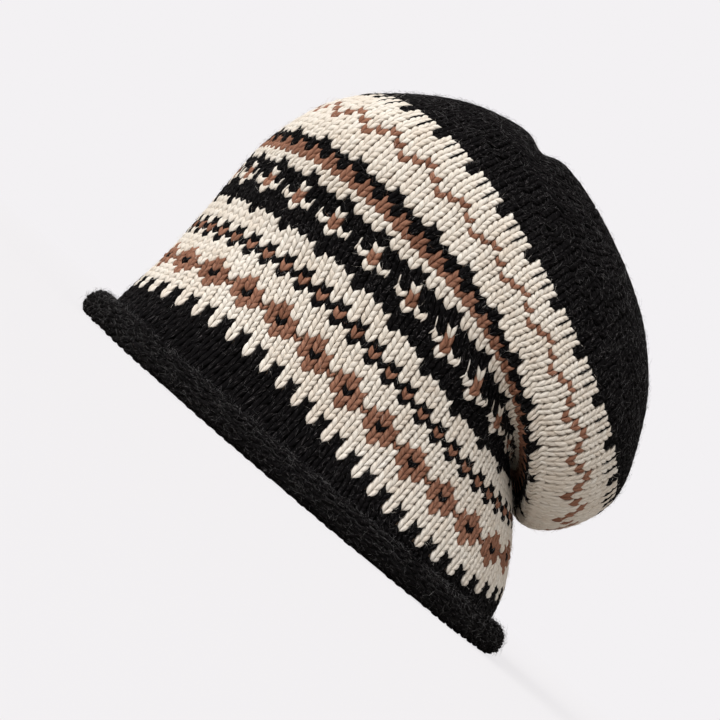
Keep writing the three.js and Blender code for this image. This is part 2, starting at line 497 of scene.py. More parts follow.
class NodeMaker:
    """Makes the nodes of one material or world."""

    def __init__(self, owner: bpy.types.Material | bpy.types.World) -> None:
        """Empties the owner's node tree."""
        owner.use_nodes = True
        self.tree = owner.node_tree
        self.tree.nodes.clear()

    def make(
        self, kind: str, settings: dict | None = None, sockets: dict | None = None, out: int | str = 0
    ) -> Socket:
        """Makes one node.

        Args:
            kind: The node's type.
            settings: The node's own settings, set first.
            sockets: Values or links of its inputs, by index or name.
            out: The output that is wanted.

        Returns:
            That output.
        """
        node = self.tree.nodes.new(kind)
        for name, value in (settings or {}).items():
            setattr(node, name, value)
        for name, value in (sockets or {}).items():
            if isinstance(value, Socket):
                self.tree.links.new(value.socket, node.inputs[name])
            else:
                node.inputs[name].default_value = value
        return Socket(self, node.outputs[out] if node.outputs else node.inputs[0])

    def mix(self, share: Value, first: Socket | Colour, second: Socket | Colour) -> Socket:
        """Mixes two colours, with a share of the second."""
        ends = [end if isinstance(end, Socket) else (*end, 1.0) for end in (first, second)]
        settings = {"data_type": "RGBA"}
        return self.make("ShaderNodeMix", settings, {0: share, 6: ends[0], 7: ends[1]}, out=2)

    def scaled(self, colour: Socket, factor: Value) -> Socket:
        """A colour times a number."""
        settings = {"operation": "SCALE"}
        return self.make("ShaderNodeVectorMath", settings, {0: colour, 3: factor})

    def noise(self, place: Socket, scale: float, detail: float = 2.0) -> Socket:
        """Soft noise from 0 to 1."""
        return self.make("ShaderNodeTexNoise", None, {"Vector": place, "Scale": scale, "Detail": detail})

    def vector(self, x: Value, y: Value, z: Value) -> Socket:
        """A vector from three values."""
        return self.make("ShaderNodeCombineXYZ", None, {0: x, 1: y, 2: z})

    def blend(self, share: Socket, first: Socket, second: Socket) -> Socket:
        """Mixes two shaders, with a share of the second."""
        return self.make("ShaderNodeMixShader", None, {0: share, 1: first, 2: second})

    def seen(self) -> Socket:
        """1 to the camera, and 0 to the light that bounces."""
        return self.make("ShaderNodeLightPath", out="Is Camera Ray")

    def toned(self, kind: str, tone: Colour, strength: float | None = None) -> Socket:
        """A shader with one plain colour, and a strength if it gives light."""
        sockets = {"Color": (*tone, 1.0)}
        if strength is not None:
            sockets["Strength"] = strength
        return self.make(kind, None, sockets)

    def object_place(self) -> Socket:
        """The place on the piece, in metres."""
        return self.make("ShaderNodeTexCoord", out="Object")

    def map_place(self) -> tuple[Socket, Socket]:
        """The two values of the piece's own map."""
        place = self.make("ShaderNodeUVMap", {"uv_map": "yarn"})
        first = self.make("ShaderNodeSeparateXYZ", None, {0: place}, out=0)
        second = self.make("ShaderNodeSeparateXYZ", None, {0: place}, out=1)
        return first, second

    def attribute(self, name: str, out: str = "Fac") -> Socket:
        """A value that the mesh carries."""
        return self.make("ShaderNodeAttribute", {"attribute_name": name}, out=out)

    def bump(self, height: Socket, distance: float, strength: float) -> Socket:
        """A normal from a height of 0 to 1, where 1 stands for the distance in metres."""
        sockets = {"Height": height, "Distance": distance, "Strength": strength}
        return self.make("ShaderNodeBump", None, sockets)

    def surface(self, shader: Socket) -> None:
        """Ends the tree in a shader."""
        is_world = isinstance(self.tree.id_data, bpy.types.World)
        kind = "ShaderNodeOutputWorld" if is_world else "ShaderNodeOutputMaterial"
        self.make(kind, None, {"Surface": shader})


def wool_shader(
    nodes: NodeMaker, colour: Socket, normal: Socket, sheen: float, sheen_colour: Colour
) -> Socket:
    """The shader that all the wool shares, where the sheen is the light that its fuzz catches."""
    sockets = {
        "Base Color": colour,
        "Normal": normal,
        "Roughness": 0.92,
        "Specular IOR Level": 0.06,
        "Sheen Weight": sheen,
        "Sheen Roughness": 0.45,
        "Sheen Tint": (*sheen_colour, 1.0),
    }
    return nodes.make("ShaderNodeBsdfPrincipled", None, sockets)


@dataclass(frozen=True)
class WoolFinish:
    """A plied wool yarn, on a piece whose map runs along and around the yarn."""

    name: str
    deep: Colour
    light: Colour
    fibre: Colour
    fibre_share: float
    groove_shade: float
    sheen: float
    plies: int = 4
    turns: float = 1.4  # how often the plies turn along a leg
    turn_spread: float = 7.0  # how much their start differs from leg to leg
    ply_flatness: float = 0.6  # less makes flatter plies with sharper grooves
    mottle_scale: float = 70.0  # patches to the metre
    grain_scale: float = 2200.0
    streaks_along: float = 3.0  # streaks of dye along a leg, and around it
    streaks_around: float = 26.0
    streak_spread: float = 91.0  # sets the streaks of each leg apart from the next one's
    ply_height: float = 0.22 * MM
    ply_strength: float = 0.7

    def material(self) -> bpy.types.Material:
        """The yarn's material: mottled dye, lighter single fibres, and grooves between the plies, shaped by
        the bump and darkened by painted shade.
        """
        made = bpy.data.materials.new(self.name)
        nodes = NodeMaker(made)
        place = nodes.object_place()
        along, around = nodes.map_place()
        shade = nodes.attribute("shade")
        mottle = nodes.noise(place, self.mottle_scale)
        grain = nodes.noise(place, self.grain_scale)
        stretched = (along * self.streaks_along, around * self.streaks_around, shade * self.streak_spread)
        streak = nodes.noise(nodes.vector(*stretched), 1.0, detail=1.0)
        twist = (around * self.plies + along * self.turns + shade * self.turn_spread) * math.pi
        ridge = twist.sine().size() ** self.ply_flatness
        # Patches, legs and streaks share out the dye, and an offset brings it back to 0 to 1
        dye = (mottle * 0.9 + shade * 0.5 + streak * 0.5 - 0.45).clamped()
        colour = nodes.mix(dye, self.deep, self.light)
        lone = streak.between(0.62, 0.74) * grain.between(0.42, 0.6) * self.fibre_share
        colour = nodes.mix(lone, colour, self.fibre)
        # Painted shade: the colour darkens in the grooves between the plies
        colour = nodes.scaled(colour, 1.0 - (1.0 - ridge) * self.groove_shade)
        height = ridge * 0.6 + streak * 0.25 + grain * 0.15
        normal = nodes.bump(height, self.ply_height, self.ply_strength)
        nodes.surface(wool_shader(nodes, colour, normal, self.sheen, self.light))
        return made


@dataclass(frozen=True)
class InsideFinish:
    """The wrong side of the fabric: a bump of yarn for each stitch, dyed as the chart says, with painted
    shade between the bumps.
    """

    name: str
    sheen: float = 0.15
    sheen_colour: Colour = (0.5, 0.5, 0.5)
    grain_scale: float = 1500.0  # patches to the metre
    mottle_scale: float = 120.0
    head_bend: float = 0.55  # how far a bump bends over its stitch, in half rows
    bump_height: float = 1.0 * MM
    bump_strength: float = 0.8

    def material(self) -> bpy.types.Material:
        """The material of a wall behind the stitches."""
        made = bpy.data.materials.new(self.name)
        nodes = NodeMaker(made)
        column, row = nodes.map_place()
        dye = nodes.attribute("dye", out="Color")
        place = nodes.object_place()
        grain = nodes.noise(place, self.grain_scale)
        mottle = nodes.noise(place, self.mottle_scale)
        # Two bumps to a row, each bent over the middle of its stitch
        head = ((row * 2.0 + (column * math.pi).sine().size() * self.head_bend) * math.pi).sine().size()
        side = (column * math.pi).sine().size() ** 0.35
        height = (head * side) ** 0.7
        # Painted shade darkens the dye between the bumps; mottle and grain vary its tone at random
        colour = nodes.scaled(dye, 0.55 + height * 0.45 + mottle * 0.2 + grain * 0.1 - 0.15)
        normal = nodes.bump(height * 0.85 + grain * 0.15, self.bump_height, self.bump_strength)
        nodes.surface(wool_shader(nodes, colour, normal, self.sheen, self.sheen_colour))
        return made


@dataclass(frozen=True)
class FibreFinish:
    """Loose single fibres that stand off the yarn."""

    name: str
    root: Colour
    tip: Colour
    sheen: float = 0.1
    grain_scale: float = 900.0  # patches to the metre
    grain_height: float = 0.02 * MM
    grain_strength: float = 0.3

    def material(self) -> bpy.types.Material:
        """A soft colour that varies from fibre to fibre."""
        made = bpy.data.materials.new(self.name)
        nodes = NodeMaker(made)
        shade = nodes.attribute("shade")
        grain = nodes.noise(nodes.object_place(), self.grain_scale)
        colour = nodes.mix((shade * 0.8 + grain * 0.4 - 0.1).clamped(), self.root, self.tip)
        normal = nodes.bump(grain, self.grain_height, self.grain_strength)
        nodes.surface(wool_shader(nodes, colour, normal, self.sheen, self.tip))
        return made


YARN_COLOURS = {
    Yarn.BLACK: (0.006, 0.0055, 0.006),
    Yarn.CREAM: (0.80, 0.74, 0.66),
    Yarn.BROWN: (0.26, 0.115, 0.07),
}
# The wall's outer face, seen between the stitches: the colour of the floats behind, darkened with painted
# shade for the shadow in the gaps
GAP_FLOATS_AND_PAINTED_SHADE = {
    Yarn.BLACK: (0.002, 0.002, 0.002),
    Yarn.CREAM: (0.52, 0.37, 0.26),
    Yarn.BROWN: (0.10, 0.043, 0.027),
}
WOOLS = {
    Yarn.BLACK: WoolFinish(
        name="black wool",
        deep=(0.0016, 0.0014, 0.0017),
        light=(0.0065, 0.0058, 0.0065),
        fibre=(0.19, 0.175, 0.18),
        fibre_share=0.8,
        groove_shade=0.3,
        sheen=0.015,
    ),
    Yarn.CREAM: WoolFinish(
        name="cream wool",
        deep=(0.71, 0.625, 0.53),
        light=(0.86, 0.825, 0.765),
        fibre=(0.91, 0.90, 0.87),
        fibre_share=0.35,
        groove_shade=0.12,
        sheen=0.10,
    ),
    Yarn.BROWN: WoolFinish(
        name="brown wool",
        deep=(0.155, 0.063, 0.037),
        light=(0.42, 0.215, 0.145),
        fibre=(0.60, 0.43, 0.34),
        fibre_share=0.6,
        groove_shade=0.3,
        sheen=0.12,
    ),
}
FIBRES = {
    Yarn.BLACK: FibreFinish("loose black fibres", (0.012, 0.012, 0.014), (0.24, 0.235, 0.24)),
    Yarn.CREAM: FibreFinish("loose cream fibres", (0.75, 0.69, 0.62), (0.92, 0.89, 0.84)),
    Yarn.BROWN: FibreFinish("loose brown fibres", (0.22, 0.10, 0.065), (0.50, 0.32, 0.24)),
}


# Rows and places in the repeat where the yarn of a stitch shows less or elsewhere
SMALL_STITCHES = {(10, 2)}
SLIVERS = (
    (Yarn.CREAM, 24, 2),
    (Yarn.CREAM, 24.7, 2),
    (Yarn.BLACK, 42.4, 2),
    (Yarn.BLACK, 43, 2),
    (Yarn.BLACK, 44, 2),
)


def chart_yarn(row: int, column: int) -> Yarn:
    """The yarn of one stitch of the patterned body."""
    return Yarn(CHART[row][(column - FIRST_REPEAT) % REPEAT])


class Lozenge:
    """A small closed shape, read from a bmesh ball so that thousands of copies fit in one mesh."""

    def __init__(self, sides: int, rings: int) -> None:
        """Makes the ball, with a number of rings of corners between its two tips."""
        ball = bmesh.new()
        bmesh.ops.create_uvsphere(ball, u_segments=sides, v_segments=rings + 1, radius=1.0)
        bmesh.ops.triangulate(ball, faces=ball.faces[:])
        ball.verts.index_update()
        corners = np.array([vertex.co for vertex in ball.verts])
        self.triangles = np.array([[v.index for v in face.verts] for face in ball.faces])
        ball.free()
        self.level = 1 - np.arccos(np.clip(corners[:, 2], -1, 1)) / math.pi
        self.angle = np.arctan2(corners[:, 1], corners[:, 0])
        self.map = self._map()

    def _map(self) -> np.ndarray:
        """Places along and around the shape for each triangle's corners, split underneath."""
        around = np.mod(self.angle - math.pi / 2, 2 * math.pi) / (2 * math.pi)
        level = self.level[self.triangles]
        corner = around[self.triangles]
        wraps = corner.max(axis=1) - corner.min(axis=1) > 0.5
        corner = np.where(wraps[:, None] & (corner < 0.5), corner + 1, corner)
        tip = (level < 0.01) | (level > 0.99)
        others = (corner * ~tip).sum(axis=1, keepdims=True) / (~tip).sum(axis=1, keepdims=True)
        corner = np.where(tip, others, corner)
        return np.stack([level, corner], axis=-1)


def link_object(name: str, data: bpy.types.ID) -> bpy.types.Object:
    """Puts a mesh, a light or a camera in the scene."""
    made = bpy.data.objects.new(name, data)
    bpy.context.scene.collection.objects.link(made)
    return made


def draw_shades(draw: np.random.Generator, count: int) -> np.ndarray:
    """Random shades from 0 to 1, most of them near the middle."""
    middle, spread = 0.5, 0.22
    return np.clip(draw.normal(middle, spread, count), 0, 1)


def dress(
    piece: bpy.types.Object, material: bpy.types.Material, nodes: tuple[str, ...] = ()
) -> None:
    """Gives a piece its material, its body and the CAD nodes that it replaces."""
    piece.data.materials.append(material)
    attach(piece, BODY)
    if nodes:
        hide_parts(*nodes)
    LOG.info("%s: %d triangles", piece.name, sum(len(face.vertices) - 2 for face in piece.data.polygons))


def join_copies(name: str, shape: Lozenge, points: np.ndarray, shades: np.ndarray) -> bpy.types.Object:
    """One mesh out of many bent copies of a small shape.

    Args:
        name: The piece's name.
        shape: The shape.
        points: Corners of each copy, in millimetres.
        shades: One value for each copy, kept as the attribute shade.

    Returns:
        The object.
    """
    copies, corners = points.shape[:2]
    starts = np.arange(copies)[:, None, None] * corners
    triangles = (shape.triangles[None] + starts).reshape(-1)
    mesh = bpy.data.meshes.new(name)
    mesh.vertices.add(copies * corners)
    mesh.vertices.foreach_set("co", (points * MM).astype(np.float32).ravel())
    mesh.loops.add(len(triangles))
    mesh.loops.foreach_set("vertex_index", triangles.astype(np.int32))
    count = len(triangles) // 3
    mesh.polygons.add(count)
    mesh.polygons.foreach_set("loop_start", (np.arange(count) * 3).astype(np.int32))
    mesh.polygons.foreach_set("use_smooth", np.ones(count, bool))
    mesh.update(calc_edges=True)
    layer = mesh.uv_layers.new(name="yarn")
    layer.data.foreach_set("uv", np.tile(shape.map.reshape(-1), copies).astype(np.float32))
    shade = mesh.attributes.new("shade", "FLOAT", "POINT")
    shade.data.foreach_set("value", np.repeat(shades, corners).astype(np.float32))
    return link_object(name, mesh)


@dataclass(frozen=True)
class LegRing:
    """A ring of a stitch's leg. Rise is in rows, shift and half width in stitches, the rest in mm."""

    rise: float
    shift: float
    lift: float
    half_width: float
    half_depth: float


FULL_LEG = (
    LegRing(-0.40, 0.03, -0.55, 0.0, 0.0),
    LegRing(-0.02, 0.115, -0.14, 0.135, 0.52),
    LegRing(0.42, 0.215, -0.06, 0.245, 0.70),
    LegRing(0.86, 0.27, -0.14, 0.255, 0.70),
    LegRing(1.26, 0.32, -0.50, 0.18, 0.52),
    LegRing(1.58, 0.37, -1.40, 0.0, 0.0),
)
# A tight stitch that all but hides between its neighbours
SMALL_LEG = (
    LegRing(-0.02, 0.03, -0.50, 0.0, 0.0),
    LegRing(0.14, 0.09, 0.05, 0.12, 0.50),
    LegRing(0.36, 0.17, 0.15, 0.16, 0.65),
    LegRing(0.58, 0.24, 0.10, 0.16, 0.65),
    LegRing(0.80, 0.30, -0.20, 0.10, 0.45),
    LegRing(0.98, 0.34, -0.80, 0.0, 0.0),
)
# A sliver of yarn that peeks out between two columns
SLIVER_LEG = (
    LegRing(-0.05, 0.48, -0.60, 0.0, 0.0),
    LegRing(0.15, 0.49, 0.15, 0.055, 0.40),
    LegRing(0.50, 0.50, 0.30, 0.075, 0.45),
    LegRing(0.90, 0.50, 0.30, 0.075, 0.45),
    LegRing(1.20, 0.50, 0.10, 0.055, 0.40),
    LegRing(1.40, 0.50, -0.60, 0.0, 0.0),
)


@dataclass
class StitchLegs:
    """The two leaf-shaped legs of yarn that show of every knitted stitch."""

    surface: KnittedSurface
    rings: tuple[LegRing, ...] = FULL_LEG
    sides: int = 5
    jitter_row: float = 0.04
    jitter_column: float = 0.014
    jitter_lift: float = 0.07
    jitter_size: float = 0.07
    tilt_rise: float = 0.6  # where the tilt is measured, in rows over a leg's foot
    tilt_reach: float = 0.4  # how far to each side of that it is measured, in rows and stitches
    most_tilt: float = 0.9

    def __post_init__(self) -> None:
        """Reads the shape of one leg."""
        self.shape = Lozenge(self.sides, len(self.rings) - 2)
        table = np.array([astuple(ring) for ring in self.rings])
        ring = np.rint(self.shape.level * (len(self.rings) - 1)).astype(int)
        self.rise, self.shift, self.lift, self.half_width, self.half_depth = table[ring].T

    def points(
        self,
        rows: np.ndarray,
        feet: np.ndarray,
        heads: np.ndarray,
        widths: np.ndarray,
        draw: np.random.Generator,
    ) -> np.ndarray:
        """Corners of both legs of each stitch, in millimetres.

        Args:
            rows: The row of each stitch.
            feet: The column where each stitch starts.
            heads: The column where it ends.
            widths: Its width in columns.
            draw: Random numbers.
        """
        sides = np.tile([-1.0, 1.0], len(rows))[:, None]
        rows, feet, heads, widths = (np.repeat(values, 2)[:, None] for values in (rows, feet, heads, widths))
        count = len(rows)
        share = np.clip(self.rise, 0, 1)
        ease = share * share * (3 - 2 * share)
        centre = feet + (heads - feet) * ease
        size = 1 + draw.normal(0, self.jitter_size, (count, 1))
        across = sides * self.shift + size * self.half_width * np.cos(self.shape.angle)
        column = centre + widths * across + draw.normal(0, self.jitter_column, (count, 1))
        row = rows + self.rise + draw.normal(0, self.jitter_row, (count, 1)) * (1 - ease)
        row = row + self._tilt(rows, feet) * (column - centre)
        lift = self.lift - self.half_depth * np.sin(self.shape.angle)
        lift = lift + draw.normal(0, self.jitter_lift, (count, 1))
        return self.surface.lifted(row, column, lift)

    def _tilt(self, rows: np.ndarray, columns: np.ndarray) -> np.ndarray:
        """Rows that a point rises for each stitch that it lies aside.

        The tilt keeps the two legs alike where rows and wales don't cross squarely.
        """
        middle = rows + self.tilt_rise
        reach = self.tilt_reach
        at = self.surface.at
        aside = at(middle, columns + reach)[0] - at(middle, columns - reach)[0]
        along = at(middle + reach, columns)[0] - at(middle - reach, columns)[0]
        tilt = -(aside * along).sum(axis=-1) / np.maximum((along * along).sum(axis=-1), 1e-6)
        return np.clip(tilt, -self.most_tilt, self.most_tilt)

    def build(
        self, name: str, stitches: np.ndarray, yarn: Yarn, wool: bpy.types.Material, draw: np.random.Generator
    ) -> None:
        """Builds one piece of stitches.

        Args:
            name: The piece's name.
            stitches: Four lines of numbers: the rows, feet, heads and widths of its stitches.
            yarn: The yarn. It is not used.
            wool: The yarn's material.
            draw: Random numbers.
        """
        points = self.points(*stitches, draw)
        shades = draw_shades(draw, len(points))
        dress(join_copies(name, self.shape, points, shades), wool)


def ring_shell(
    name: str, rings: list[np.ndarray], tips: tuple[np.ndarray, np.ndarray] | None = None
) -> bpy.types.Object:
    """A closed shell through rings of corners, from a circle that is extruded ring by ring.

    Args:
        name: The piece's name.
        rings: Corners of each ring, in millimetres, all with the same count.
        tips: The points that close the first and the last ring, or None to join the last to the first.

    Returns:
        The object, whose attributes ring and corner say which corner each vertex is.
    """
    count = len(rings[0])
    shell = bmesh.new()
    ring_layer = shell.verts.layers.int.new("ring")
    corner_layer = shell.verts.layers.int.new("corner")
    made = bmesh.ops.create_circle(shell, segments=count, radius=1.0)
    shell.verts.ensure_lookup_table()
    for corner, vertex in enumerate(made["verts"]):
        vertex[corner_layer] = corner
        vertex.co = Vector(rings[0][corner]) * MM
    edges = shell.edges[:]
    first = edges
    for number, ring in enumerate(rings[1:], start=1):
        grown = bmesh.ops.extrude_edge_only(shell, edges=edges)["geom"]
        edges = [part for part in grown if isinstance(part, bmesh.types.BMEdge)]
        for vertex in (part for part in grown if isinstance(part, bmesh.types.BMVert)):
            vertex[ring_layer] = number
            vertex.co = Vector(ring[vertex[corner_layer]]) * MM
    if tips is None:
        bmesh.ops.bridge_loops(shell, edges=first + edges)
    else:
        for loop, tip in ((first, tips[0]), (edges, tips[1])):
            grown = bmesh.ops.extrude_edge_only(shell, edges=loop)["geom"]
            corners = [part for part in grown if isinstance(part, bmesh.types.BMVert)]
            bmesh.ops.pointmerge(shell, verts=corners, merge_co=Vector(tip) * MM)
    bmesh.ops.recalc_face_normals(shell, faces=shell.faces[:])
    mesh = bpy.data.meshes.new(name)
    shell.to_mesh(mesh)
    shell.free()
    mesh.polygons.foreach_set("use_smooth", np.ones(len(mesh.polygons), bool))
    return link_object(name, mesh)


def read_corners(mesh: bpy.types.Mesh) -> tuple[np.ndarray, np.ndarray, np.ndarray]:
    """Ring, corner and face of each face corner of a ring_shell, with corners unwrapped over each face."""
    numbers = {}
    for name in ("ring", "corner"):
        values = np.zeros(len(mesh.vertices), np.int32)
        mesh.attributes[name].data.foreach_get("value", values)
        numbers[name] = values
    loops = np.zeros(len(mesh.loops), np.int32)
    mesh.loops.foreach_get("vertex_index", loops)
    totals = np.zeros(len(mesh.polygons), np.int32)
    mesh.polygons.foreach_get("loop_total", totals)
    faces = np.repeat(np.arange(len(totals)), totals)
    ring = numbers["ring"][loops]
    corner = numbers["corner"][loops]
    highest = np.zeros(len(totals), int)
    np.maximum.at(highest, faces, corner)
    wrapped = (highest[faces] == STITCHES - 1) & (corner == 0)
    return ring, np.where(wrapped, STITCHES, corner), faces


def dye_shell(piece: bpy.types.Object, rows: np.ndarray, colours: np.ndarray) -> None:
    """Gives a shell its map of columns and rows, and one colour for each stitch.

    Args:
        piece: A shell with one corner for each stitch around it.
        rows: The knitted row of each ring.
        colours: Colours by ring and stitch, where a face takes that of its lowest ring and corner.
    """
    mesh = piece.data
    ring, corner, faces = read_corners(mesh)
    layer = mesh.uv_layers.new(name="yarn")
    layer.data.foreach_set("uv", np.stack([corner, rows[ring]], axis=1).astype(np.float32).ravel())
    lowest_ring = np.full(faces.max() + 1, len(rows))
    lowest_corner = np.full(faces.max() + 1, STITCHES)
    np.minimum.at(lowest_ring, faces, ring)
    np.minimum.at(lowest_corner, faces, corner)
    picked = colours[lowest_ring[faces], lowest_corner[faces] % STITCHES]
    dye = mesh.color_attributes.new("dye", "FLOAT_COLOR", "CORNER")
    opaque = np.concatenate([picked, np.ones((len(picked), 1))], axis=1)
    dye.data.foreach_set("color", opaque.astype(np.float32).ravel())


def plain_dye(rings: int) -> np.ndarray:
    """Black for every stitch of a number of rings."""
    return np.tile(YARN_COLOURS[Yarn.BLACK], (rings, STITCHES, 1))


@dataclass
class PatternedBody:
    """The wall with the bands of cream, black and brown."""

    legs: StitchLegs
    upper_band_row: int = 26  # the cream stitches from here up are a piece of their own
    outer_depth: float = 1.15  # the wall behind the stitches starts this far under the outer face
    ring_step: float = 0.5  # rows between two rings of the wall

    def build(self, wools: dict[Yarn, bpy.types.Material], inside: bpy.types.Material) -> None:
        """Builds the stitches, and the wall behind them with a material of its own."""
        draw = np.random.default_rng(SEED)
        grouped: dict[str, list[tuple[int, int]]] = {}
        for row in range(CROWN_ROW):
            for column in range(STITCHES):
                grouped.setdefault(self._piece_of(row, column), []).append((row, column))
        small = StitchLegs(self.legs.surface, SMALL_LEG)
        for name, places in sorted(grouped.items()):
            legs = small if name == "small_stitches" else self.legs
            yarn = chart_yarn(*places[0])
            legs.build(name, self._upright(places), yarn, wools[yarn], draw)
        sliver = StitchLegs(self.legs.surface, SLIVER_LEG)
        starts = range(FIRST_REPEAT, FIRST_REPEAT + STITCHES, REPEAT)
        for yarn in (Yarn.CREAM, Yarn.BLACK):
            rows = [(row, place) for kind, row, place in SLIVERS if kind is yarn]
            places = [(row, (start + place) % STITCHES) for row, place in rows for start in starts]
            name = f"{yarn.name.lower()}_slivers"
            sliver.build(name, self._upright(places), yarn, wools[yarn], draw)
        self._wall(inside)

    def _piece_of(self, row: int, column: int) -> str:
        """The piece that holds a stitch. Cream stitches are split, so that no piece is too heavy."""
        if (row, (column - FIRST_REPEAT) % REPEAT) in SMALL_STITCHES:
            return "small_stitches"
        yarn = chart_yarn(row, column)
        name = f"{yarn.name.lower()}_stitches"
        if yarn is Yarn.CREAM:
            name = f"{name}_{'upper' if row >= self.upper_band_row else 'lower'}"
        return name

    @staticmethod
    def _upright(places: list[tuple[float, int]]) -> np.ndarray:
        """Rows, feet, heads and widths of stitches that stand straight in their columns."""
        rows, columns = np.array(places, float).T
        return np.stack([rows, columns + 0.5, columns + 0.5, np.ones(len(rows))])

    def _wall(self, inside: bpy.types.Material) -> None:
        """The wall behind the stitches, whose outer face carries painted shade for the gaps and whose inner
        face is the wrong side of the knitting.
        """
        rows = np.arange(0, CROWN_ROW + self.ring_step / 2, self.ring_step)
        surface = self.legs.surface
        outer = [surface.ring(row, -self.outer_depth) for row in rows]
        inner = [surface.ring(row, -WALL) for row in rows]
        piece = ring_shell("body_wall", outer + inner[::-1])
        chart = [[chart_yarn(int(row), column) for column in range(STITCHES)] for row in rows[:-1]]
        # The outer face shows between the stitches: float colours darkened with painted shade. The inner face
        # takes the yarn's own colour.
        floats_and_painted_shade = [[GAP_FLOATS_AND_PAINTED_SHADE[yarn] for yarn in row] for row in chart]
        dyes = [[YARN_COLOURS[yarn] for yarn in row] for row in chart]
        colours = np.array(floats_and_painted_shade + floats_and_painted_shade[-1:] + dyes[::-1] + dyes[:1])
        dye_shell(piece, np.concatenate([rows, rows[::-1]]), colours)
        dress(piece, inside, ("patterned_body",))


@dataclass
class Crown:
    """The plain cap, whose wedges narrow by a stitch every few rows up to the pole."""

    legs: StitchLegs
    wedges: int = 14
    rows_for_each_decrease: float = 3.6
    outer_depth: float = 1.5
    last_ring_row: float = 76.0

    def stitches_in_wedge(self, row: float) -> int:
        """How many stitches a wedge has in a row."""
        full = STITCHES // self.wedges
        lost = int(max(row - CROWN_ROW, 0) / self.rows_for_each_decrease)
        return max(full - lost, 1)

    def build(self, wool: bpy.types.Material, inside: bpy.types.Material) -> None:
        """Builds the stitches, and the wall behind them with a material of its own."""
        draw = np.random.default_rng(SEED + 1)
        full = STITCHES // self.wedges
        stitches = []
        for row in range(CROWN_ROW, POLE_ROW - 1):
            here = self.stitches_in_wedge(row)
            below = self.stitches_in_wedge(row - 1)
            for wedge in range(self.wedges):
                for stitch in range(here):
                    joined = below > here and stitch == here - 1
                    foot = stitch + (1.0 if joined else 0.5)
                    foot_column = wedge * full + foot * full / below
                    head_column = wedge * full + (stitch + 0.5) * full / here
                    stitches.append((row, foot_column, head_column, full / here))
        self.legs.build("crown_stitches", np.array(stitches, float).T, Yarn.BLACK, wool, draw)
        self._wall(inside)

    def _wall(self, inside: bpy.types.Material) -> None:
        """The cap behind the stitches, closed at the pole inside and out."""
        rows = np.arange(CROWN_ROW, self.last_ring_row + 1)
        surface = self.legs.surface
        outer = [surface.ring(row, -self.outer_depth) for row in rows[::-1]]
        inner = [surface.ring(row, -WALL) for row in rows]
        pole = surface.points[-1, 0]
        tips = (pole - (0, 0, self.outer_depth), pole - (0, 0, WALL))
        piece = ring_shell("crown_wall", outer + inner, tips)
        dye_shell(piece, np.concatenate([rows[::-1], rows]), plain_dye(2 * len(rows)))
        dress(piece, inside, ("crown",))


@dataclass
class RolledBrim:
    """The edge that rolls outward by itself and shows the bumps of the wrong side."""

    roll: RollSurface
    bump_half_width: float = 0.50  # in stitches
    bump_half_height: float = 0.27  # in rows of the roll
    bump_half_depth: float = 0.75
    bump_lift: float = -0.25
    arch: float = 0.16  # how far a bump's ends bend down, in rows
    end_drop: float = 0.5  # how far they sink, in mm
    first_row: float = 0.55
    last_gap: float = 0.3  # no bump's middle lies nearer to the wall than this, in rows
    half_row: float = 0.5
    jitter_size: float = 0.16
    jitter_column: float = 0.08
    jitter_row: float = 0.07
    jitter_lift: float = 0.15
    core_depth: float = 0.55
    core_rings: int = 20

    # The side of the roll towards the head and the flat underneath, from the wall down
    INNER_SECTION = (
        (-3.2, 8.7),
        (-3.2, 2.6),
        (-2.3, 0.8),
        (-0.4, 0.05),
    )

    def build(self, wool: bpy.types.Material, inside: bpy.types.Material) -> None:
        """Builds the bumps, and the roll behind them with a material of its own."""
        draw = np.random.default_rng(SEED + 2)
        shape = Lozenge(sides=6, rings=3)
        half_rows = np.arange(self.first_row, self.roll.rows - self.last_gap, self.half_row)
        rows = np.repeat(half_rows, STITCHES)[:, None]
        # Every other half row is set half a stitch aside, and its bumps arch the other way
        odd = np.repeat(np.arange(len(half_rows)) % 2, STITCHES)[:, None]
        columns = np.tile(np.arange(STITCHES), len(half_rows))[:, None] + 0.5 * odd
        arches = self.arch * (1 - 2 * odd)
        count = len(rows)
        across = 2 * shape.level - 1
        swell = np.sqrt(np.clip(1 - across * across, 0, 1))
        size = 1 + draw.normal(0, self.jitter_size, (count, 1))
        column = columns + across * self.bump_half_width + draw.normal(0, self.jitter_column, (count, 1))
        row = rows + swell * self.bump_half_height * size * np.sin(shape.angle) - arches * across**2
        row = row + draw.normal(0, self.jitter_row, (count, 1))
        lift = self.bump_lift + swell * self.bump_half_depth * size * np.cos(shape.angle)
        lift = lift - self.end_drop * across**2 + draw.normal(0, self.jitter_lift, (count, 1))
        points = self.roll.lifted(row, column, lift)
        points[..., 2] = np.maximum(points[..., 2], FLOOR_GAP)
        piece = join_copies("brim_bumps", shape, points, draw_shades(draw, count))
        dress(piece, wool)
        self._core(inside)

    def _core(self, inside: bpy.types.Material) -> None:
        """The roll behind the bumps."""
        foot, level = self.roll.fabric.at(np.zeros(STITCHES), np.arange(STITCHES, dtype=float))
        rows = np.linspace(0, self.roll.rows, self.core_rings)
        rings = []
        for out, up in self.INNER_SECTION:
            ring = foot + level * out
            ring[:, 2] = up
            rings.append(ring)
        for row in rows:
            ring = self.roll.ring(row, -self.core_depth)
            ring[:, 2] = np.maximum(ring[:, 2], FLOOR_GAP)
            rings.append(ring)
        piece = ring_shell("brim_roll", rings)
        counted = np.concatenate([np.arange(-len(self.INNER_SECTION), 0), rows])
        dye_shell(piece, counted, plain_dye(len(rings)))
        dress(piece, inside, ("rolled_brim",))


